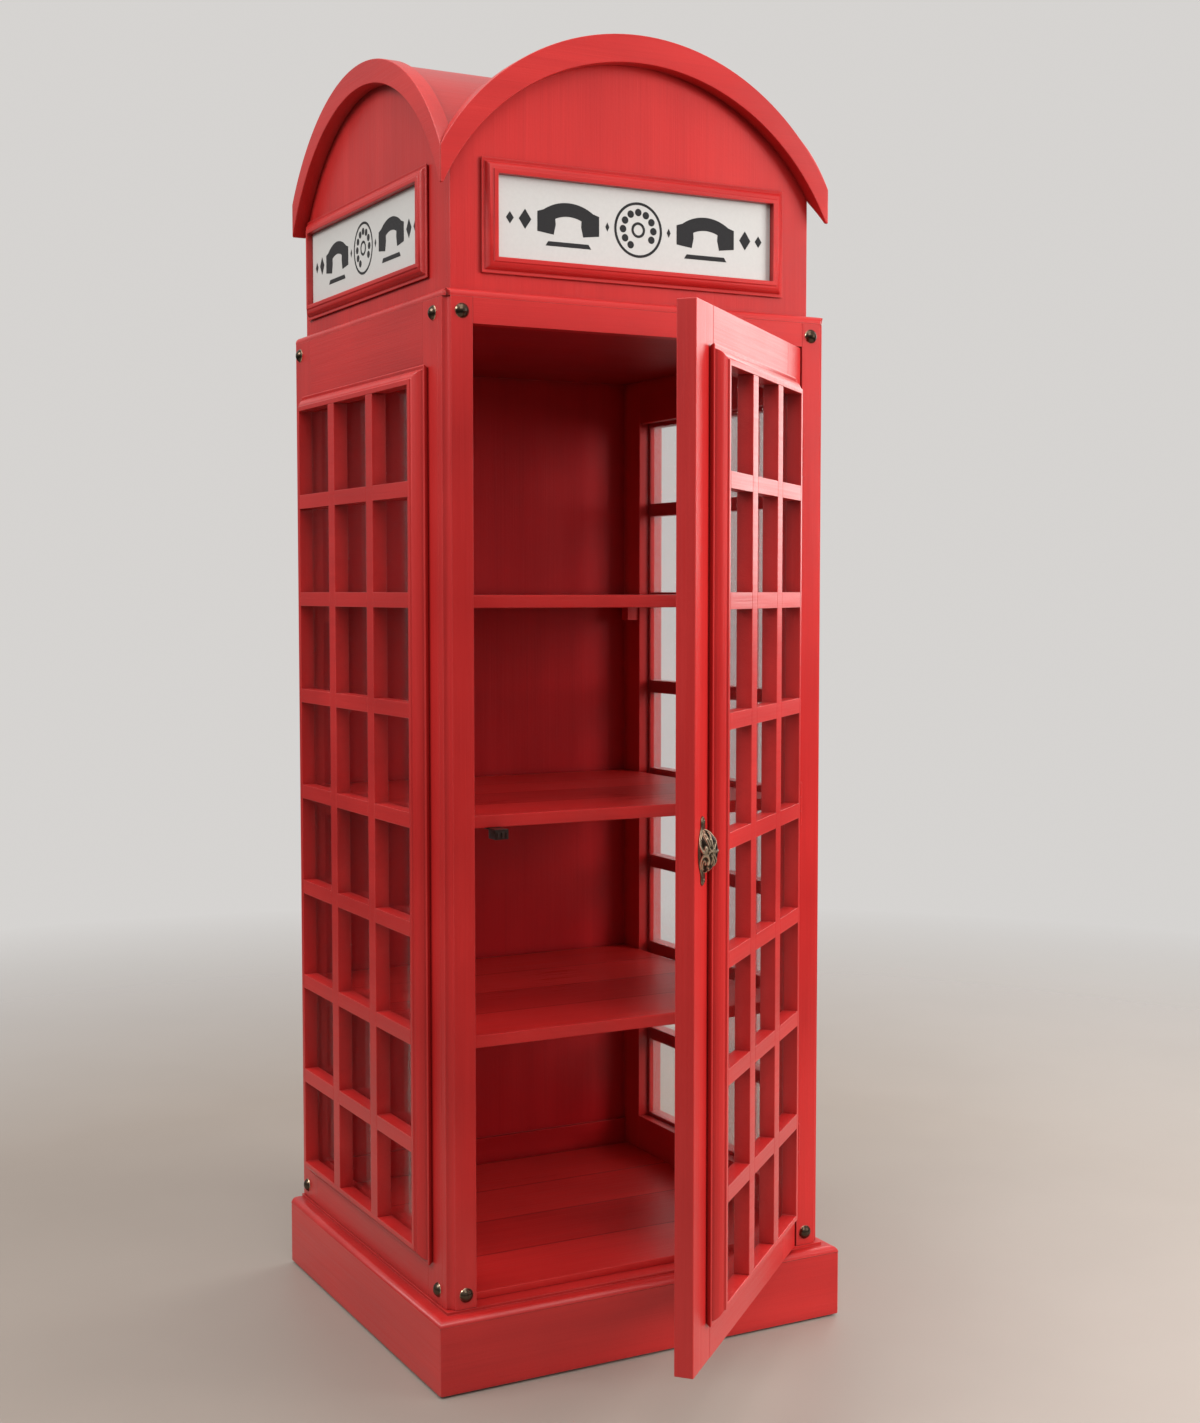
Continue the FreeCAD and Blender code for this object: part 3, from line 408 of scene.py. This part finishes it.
def lozenge(cx, half_width, half_height):
    return [(cx - half_width, 0), (cx, half_height), (cx + half_width, 0), (cx, -half_height)]


def sign_art():
    """A rotary dial between two receivers, with lozenges: plain ornament, no lettering."""
    shapes = []
    for outer, inner in (DIAL["rim"], DIAL["hub"]):
        shapes += [ring(0, 0, outer), ring(0, 0, inner)[::-1]]
    for hole in ring(0, 0, DIAL["holes_out"], 12, math.radians(-30))[:10]:
        shapes.append(ring(*hole, DIAL["hole"], 20))
    for side in (-1, 1):
        middle = RECEIVER["out"] * side
        shapes.append(handset(middle))
        shapes.append([(middle + x, CRADLE_LEVEL + z) for x, z in CRADLE])
        shapes += [lozenge(side * out, half * 0.7, half) for out, half in LOZENGES]
        out, half_width, half_height = SMALL_LOZENGE
        shapes.append(lozenge(side * out, half_width, half_height))
    return shapes


for side, turn in (("front", 0), ("left", -90), ("right", 90)):
    low, high = (Vector(v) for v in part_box("sign_panel_" + side))
    middle = (low + high) / 2
    spot = {"front": Vector((middle.x, low.y, middle.z)), "left": Vector((low.x, middle.y, middle.z)),
            "right": Vector((high.x, middle.y, middle.z))}[side]
    place = (Matrix.Translation(spot) @ Matrix.Rotation(math.radians(turn), 4, "Z")
             @ Matrix.Rotation(math.radians(90), 4, "X"))
    plate("sign_art_" + side, sign_art(), place, INK)


# ---------------------------------------------------------------- cup pull
FREE_EDGE, PULL_INSET, DOOR_FACE = -0.252, 0.0295, -0.2875          # metres, with the door shut
# the cup, in millimetres: half an oval, open below the mouth, an angle in degrees
PULL = {"tall": 27.0, "wide": 17.0, "deep": 20.5, "mouth": 58.0}
CUP_ROWS, CUP_COLUMNS = 124, 96
POLE_GAP = 4                                            # degrees left open at each end of the cup
RELIEF_RISE, RELIEF_BASE, INNER_SKIN = 1.25, 1.2, 2.5   # the last two are depths below the full oval
# how wide the relief's lines are and how its curls wind, where the cup is 2 wide and 2 long
BROAD_LINE, FINE_LINE, RIM_LINE = 0.072, 0.046, 0.07
CURL_STEPS, CURL_TURN = 30, 7
# the plate, in millimetres: its lugs' round ends start at that share of its half length
PLATE_HALF_LENGTH, LEAF_HALF_WIDTH, LEAF_HALF_LENGTH, LUG_HALF_WIDTH, LUG_ROUND = 42.0, 17.0, 35, 6.6, 0.82
PLATE_TIERS = ((1.0, 0.0), (1.0, -1.1), (0.94, -1.9), (0.80, -2.6))     # size, and how far off the door
END_SHRINK = 0.35                                       # the ends draw in this much of what the sides do
PLATE_RELIEF = 0.55                                     # the plate's tone, between low and high relief: it gets a little of the relief's painted highlight


def ridge(points, spots, width):
    """How near each spot is to a drawn line: 1 on it, falling to 0 at width."""
    tree = KDTree(len(points))
    for k, (x, z) in enumerate(points):
        tree.insert((x, z, 0), k)
    tree.balance()
    return [max(0.0, 1.0 - (tree.find((x, z, 0))[2] / width) ** 2) for x, z in spots]


def hook(cx, cz, wide, tall, first, last, curl, steps=60):
    """Part of an oval that ends in a small curl wound inside it. Angles in degrees."""
    angles = [math.radians(first + (last - first) * i / steps) for i in range(steps + 1)]
    points = [(cx + wide * math.cos(a), cz + tall * math.sin(a)) for a in angles]
    ex, ez = points[-1]
    inward = math.hypot(cx - ex, cz - ez)
    ux, uz = (cx - ex) / inward, (cz - ez) / inward
    mx, mz, begin = ex + ux * curl, ez + uz * curl, math.atan2(-uz, -ux)
    way = 1 if last > first else -1
    for i in range(CURL_STEPS + 1):
        t = i / CURL_STEPS
        radius, a = curl * (1 - 0.6 * t), begin + way * CURL_TURN * t
        points.append((mx + radius * math.cos(a), mz + radius * math.sin(a)))
    return points


def line(a, b, bow=0.0, steps=16):
    """A bowed line: a quadratic curve whose middle is pulled aside by bow."""
    mx, mz = (a[0] + b[0]) / 2 - bow * (b[1] - a[1]), (a[1] + b[1]) / 2 + bow * (b[0] - a[0])
    return [((1 - t) ** 2 * a[0] + 2 * t * (1 - t) * mx + t * t * b[0],
             (1 - t) ** 2 * a[1] + 2 * t * (1 - t) * mz + t * t * b[1])
            for t in (i / steps for i in range(steps + 1))]


def cup_relief():
    """Scrolls and leaves in the cup's own directions: across -1 to 1, and along -1 to 1."""
    thick = hook(-0.58, 0.42, 0.36, 0.42, 62, 282, 0.075)
    thick += hook(-0.56, -0.42, 0.30, 0.34, 205, 20, 0.06)
    thin = hook(-0.62, -0.46, 0.13, 0.20, 250, 40, 0.03)
    for a, b, bow in (((-0.60, 0.56), (-0.30, 0.12), 0.10), ((-0.44, 0.60), (-0.20, 0.22), 0.10),
                      ((-0.62, 0.56), (-0.44, 0.62), 0.5), ((-0.46, 0.40), (-0.34, 0.44), 0.3),
                      ((-0.30, 0.12), (0.02, 0.02), -0.2), ((-0.34, -0.02), (0.02, 0.02), 0.2),
                      ((0.02, 0.02), (-0.02, 0.40), 0.25), ((0.02, 0.02), (-0.04, -0.36), -0.25),
                      ((0.02, 0.02), (0.34, 0.26), 0.2), ((0.02, 0.02), (0.34, -0.22), -0.2),
                      ((0.02, 0.02), (0.80, 0.02), 0.0), ((-0.16, -0.10), (0.26, -0.44), 0.15),
                      ((-0.12, 0.40), (0.16, 0.72), -0.2), ((-0.30, -0.52), (0.05, -0.74), 0.2),
                      ((0.34, 0.26), (0.72, 0.46), -0.2), ((0.34, -0.22), (0.72, -0.46), 0.2)):
        thin += line(a, b, bow)
    thin += ring(0.02, 0.02, 0.10, 24)
    return thick, thin


def cup_mesh(bm):
    """The outer shell with its relief, and an inner skin, closed round the rim."""
    rows, cols = CUP_ROWS, CUP_COLUMNS
    first, last = math.radians(PULL["mouth"]), math.radians(180)
    thick, thin = cup_relief()
    spots = [(1 - 2 * j / cols, -1 + 2 * i / rows) for i in range(rows + 1) for j in range(cols + 1)]
    broad, fine = ridge(thick, spots, BROAD_LINE), ridge(thin, spots, FINE_LINE)
    relief = bm.verts.layers.float.new("relief")
    outer, inner = [], []
    for k, (across, along) in enumerate(spots):
        phi = math.radians(POLE_GAP) + (math.pi - math.radians(2 * POLE_GAP)) * (along + 1) / 2
        theta = first + (last - first) * (1 - across) / 2
        oval = Vector((math.sin(phi) * math.cos(theta) * PULL["wide"],
                       -math.sin(phi) * math.sin(theta) * PULL["deep"], -math.cos(phi) * PULL["tall"]))
        normal = Vector((oval.x / PULL["wide"] ** 2, oval.y / PULL["deep"] ** 2,
                         oval.z / PULL["tall"] ** 2)).normalized()
        border = max(0.0, 1 - (1 - max(abs(across), abs(along))) / RIM_LINE)
        lift = max(0.95 * broad[k] ** 0.7, 0.85 * fine[k] ** 0.8, min(border * 1.5, 0.75))
        outer.append(bm.verts.new(oval + normal * (lift * RELIEF_RISE - RELIEF_BASE)))
        outer[-1][relief] = lift
        inner.append(bm.verts.new(oval - normal * INNER_SKIN))
    for i in range(rows):
        for j in range(cols):
            a, b = i * (cols + 1) + j, i * (cols + 1) + j + 1
            c, d = b + cols + 1, a + cols + 1
            bm.faces.new((outer[a], outer[b], outer[c], outer[d]))
            bm.faces.new((inner[d], inner[c], inner[b], inner[a]))
    edge = list(range(cols + 1)) + [i * (cols + 1) + cols for i in range(1, rows + 1)]
    edge += [rows * (cols + 1) + j for j in range(cols - 1, -1, -1)]
    edge += [i * (cols + 1) for i in range(rows - 1, -1, -1)]
    for a, b in zip(edge, edge[1:]):
        bm.faces.new((outer[b], outer[a], inner[a], inner[b]))


def lug_outline(steps=40):
    """The back plate: a leaf behind the cup that narrows to a rounded lug at each end."""
    half = PLATE_HALF_LENGTH
    right = []
    for i in range(steps + 1):
        z = -half + 2 * half * i / steps
        u = abs(z) / half
        leaf = LEAF_HALF_WIDTH * math.cos(min(1.0, abs(z) / LEAF_HALF_LENGTH) * math.pi / 2) ** 0.8
        lug = LUG_HALF_WIDTH * math.sqrt(max(0.0, 1 - (max(0.0, u - LUG_ROUND) / (1 - LUG_ROUND)) ** 2))
        right.append((max(leaf, lug, 0.3), z))
    return right + [(-x, z) for x, z in right[::-1]]


def plate_mesh(bm):
    """The back plate, with a rounded edge."""
    outline = lug_outline()
    relief = bm.verts.layers.float["relief"]
    rings = [[bm.verts.new((x * k, y, z * (1 - (1 - k) * END_SHRINK))) for x, z in outline]
             for k, y in PLATE_TIERS]
    for tier in rings:
        for vert in tier:
            vert[relief] = PLATE_RELIEF
    for lower, upper in zip(rings, rings[1:]):
        for i in range(len(outline)):
            n = (i + 1) % len(outline)
            bm.faces.new((lower[i], lower[n], upper[n], upper[i]))
    bm.faces.new(rings[0][::-1])
    bm.faces.new(rings[-1])


def make_pull():
    """The cup and its plate, drawn shut at the CAD's place and opened with the door."""
    mesh = bpy.data.meshes.new("cup_pull")
    bm = bmesh.new()
    cup_mesh(bm)
    plate_mesh(bm)
    bmesh.ops.recalc_face_normals(bm, faces=bm.faces)
    bm.to_mesh(mesh)
    bm.free()
    low, high = (Vector(v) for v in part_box("door_pull"))
    pin = Vector(frame["joints"][0]["pos_m"])
    turn = Matrix.Translation(pin) @ Matrix.Rotation(SWING, 4, "Z") @ Matrix.Translation(-pin)
    centre = Vector((FREE_EDGE + PULL_INSET, DOOR_FACE, (low.z + high.z) / 2))
    mesh.transform(turn @ Matrix.Translation(centre) @ Matrix.Scale(MM, 4))
    for polygon in mesh.polygons:
        polygon.use_smooth = True
    mesh.materials.append(PULL_BRONZE)
    obj = bpy.data.objects.new("cup_pull", mesh)
    bpy.context.collection.objects.link(obj)
    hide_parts("door_pull")
    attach(obj, "door")


make_pull()

# ---------------------------------------------------------------- stage
FLOOR_RADIUS, FADE_START, FADE_END = 4.0, 1.2, 3.6
BACKDROP, BACKDROP_STRENGTH = (0.78, 0.76, 0.74), 0.86
SKY = (1.0, 0.97, 0.94)
SKY_RISE = {"From Min": -0.1, "From Max": 0.6, "To Min": 0.04, "To Max": 0.68}
LAMPS = (1.0, 0.98, 0.955)


def floor_material():
    """Pale, and fading into the background further out so that no horizon shows."""
    g = Graph("floor_pale")
    soft = g.noise(g.mapped((2, 2, 2)), detail=3.0)
    tone = g.mix(g.span(soft, 0.3, 0.7), (0.325, 0.280, 0.245), (0.345, 0.298, 0.262))
    g.join(tone, g.shader.inputs["Base Color"])
    far = g.add("ShaderNodeVectorMath", operation="LENGTH")
    g.join(g.texture, far.inputs[0])
    g.join(g.span(far.outputs["Value"], FADE_START, FADE_END, 1.0, 0.0), g.shader.inputs["Alpha"])
    g.put(g.shader, Roughness=0.5)
    return g.material


def round_floor():
    """The pale floor that the cabinet stands on."""
    mesh = bpy.data.meshes.new("floor")
    bm = bmesh.new()
    bm.faces.new([bm.verts.new((x, y, 0)) for x, y in ring(0, 0, FLOOR_RADIUS, 96)])
    bm.to_mesh(mesh)
    bm.free()
    obj = bpy.data.objects.new("floor", mesh)
    bpy.context.collection.objects.link(obj)
    mesh.materials.append(floor_material())


def studio_world():
    """Light that grows with height, and a plain pale background for the camera, also through glass."""
    world = bpy.data.worlds.new("studio")
    bpy.context.scene.world = world
    world.use_nodes = True
    tree = world.node_tree
    lit = tree.nodes["Background"]
    seen = tree.nodes.new("ShaderNodeBackground")
    seen.inputs[0].default_value, seen.inputs[1].default_value = (*BACKDROP, 1.0), BACKDROP_STRENGTH
    ray = tree.nodes.new("ShaderNodeLightPath")
    through = tree.nodes.new("ShaderNodeMath")
    through.operation = "MAXIMUM"
    blend = tree.nodes.new("ShaderNodeMixShader")
    sky = tree.nodes.new("ShaderNodeTexCoord")
    split = tree.nodes.new("ShaderNodeSeparateXYZ")
    rise = tree.nodes.new("ShaderNodeMapRange")
    tree.links.new(sky.outputs["Generated"], split.inputs[0])
    tree.links.new(split.outputs["Z"], rise.inputs["Value"])
    for key, value in SKY_RISE.items():
        rise.inputs[key].default_value = value
    lit.inputs[0].default_value = (*SKY, 1.0)
    tree.links.new(rise.outputs[0], lit.inputs[1])
    tree.links.new(ray.outputs["Is Camera Ray"], through.inputs[0])
    tree.links.new(ray.outputs["Is Transmission Ray"], through.inputs[1])
    tree.links.new(through.outputs[0], blend.inputs[0])
    tree.links.new(lit.outputs[0], blend.inputs[1])
    tree.links.new(seen.outputs[0], blend.inputs[2])
    tree.links.new(blend.outputs[0], tree.nodes["World Output"].inputs[0])


def area(name, place, aim, width, height, power, glossy=True):
    """A softbox that lights the cabinet but isn't seen itself, except as gloss."""
    light = bpy.data.lights.new(name, "AREA")
    light.shape, light.size, light.size_y = "RECTANGLE", width, height
    light.energy, light.color = power, LAMPS
    obj = bpy.data.objects.new(name, light)
    obj.location = place
    obj.rotation_euler = (Vector(aim) - Vector(place)).to_track_quat("-Z", "Y").to_euler()
    obj.visible_glossy = glossy
    obj.visible_camera = obj.visible_transmission = False
    bpy.context.collection.objects.link(obj)


round_floor()
studio_world()
area("window_right", (3.1, 1.35, 2.25), (0, -0.2, 1.4), 2.1, 2.5, 50)
area("side_softbox", (2.6, -2.5, 1.8), (0.1, -0.4, 1.0), 1.8, 1.8, 124, glossy=False)
area("side_sheen", (2.6, -2.5, 2.0), (0.1, -0.3, 1.1), 1.8, 2.0, 14)
area("front_softbox", (-0.9, -2.7, 3.3), (0, 0, 1.5), 1.8, 1.2, 20)
area("left_softbox", (-2.9, 0.1, 3.1), (0, 0, 1.5), 1.8, 1.4, 66)
area("top_softbox", (-0.6, -1.0, 4.4), (0, 0, 1.2), 2.6, 2.6, 46)

# ---------------------------------------------------------------- camera
EYE = (-1.2848, -2.5692, 1.0554)
TILT_DOWN, HEADING = 0.0622, -0.4894                    # radians
LENS, SENSOR = 48.64, 36.0                              # millimetres

camera = bpy.data.cameras.new("camera")
camera.lens, camera.sensor_width, camera.sensor_fit = LENS, SENSOR, "AUTO"
camera.clip_end = 60
view = bpy.data.objects.new("camera", camera)
view.location = EYE
view.rotation_euler = (math.pi / 2 - TILT_DOWN, 0, HEADING)
bpy.context.collection.objects.link(view)
bpy.context.scene.camera = view
bpy.context.scene.view_settings.view_transform = "Standard"
